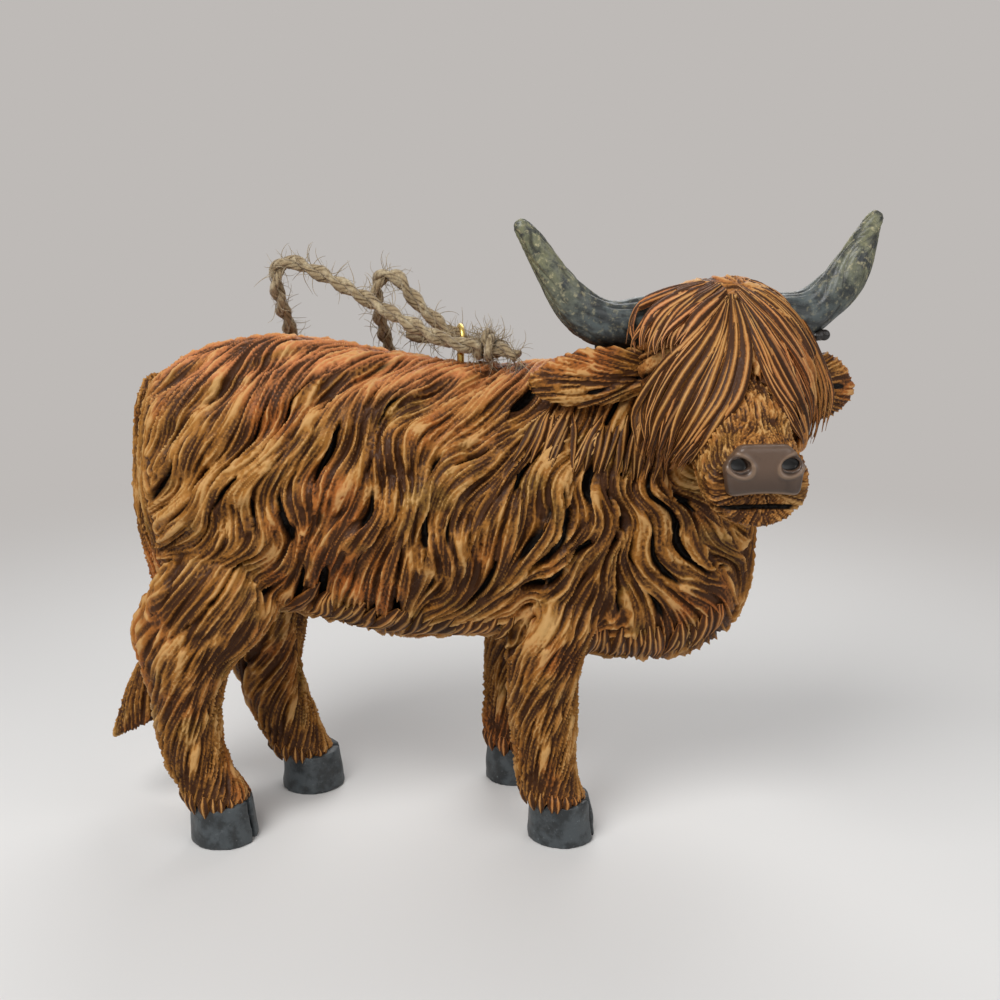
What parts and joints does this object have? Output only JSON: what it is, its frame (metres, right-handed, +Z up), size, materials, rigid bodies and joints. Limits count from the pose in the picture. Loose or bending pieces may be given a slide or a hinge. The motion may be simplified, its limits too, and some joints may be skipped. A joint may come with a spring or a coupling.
{
  "type": "cow figurine",
  "caption": "Standing long-haired highland cow ornament in cast resin, head turned to its right, with glued horns, a brass screw eye and a loop of jute twine in its back.",
  "frame": {"origin": "middle of the figure's footprint on the surface that it stands on, measured without the twine", "axes": "+X from the tail to the chest, +Y to the cow's own left, +Z up from the soles"},
  "size_m": [0.121, 0.0563, 0.0982],
  "materials": {
    "coat": "satin",
    "hoof": "satin",
    "nose": "satin",
    "horn": "satin",
    "steel": "satin",
    "brass": "bright",
    "twine": "fibrous"
  },
  "bodies": {
    "root": {"trunk": "coat", "head": "coat", "forelock": "coat", "right_ear": "coat", "left_ear": "coat", "tail": "coat", "fore_right_leg": "coat", "fore_left_leg": "coat", "hind_right_leg": "coat", "hind_left_leg": "coat", "fore_right_hoof": "hoof", "fore_left_hoof": "hoof", "hind_right_hoof": "hoof", "hind_left_hoof": "hoof", "nose_pad": "nose", "right_horn": "horn", "left_horn": "horn", "horn_pins": "steel", "screw_eye": "brass", "twine_loop": "twine", "twine_knot": "twine"}
  },
  "joints": []
}
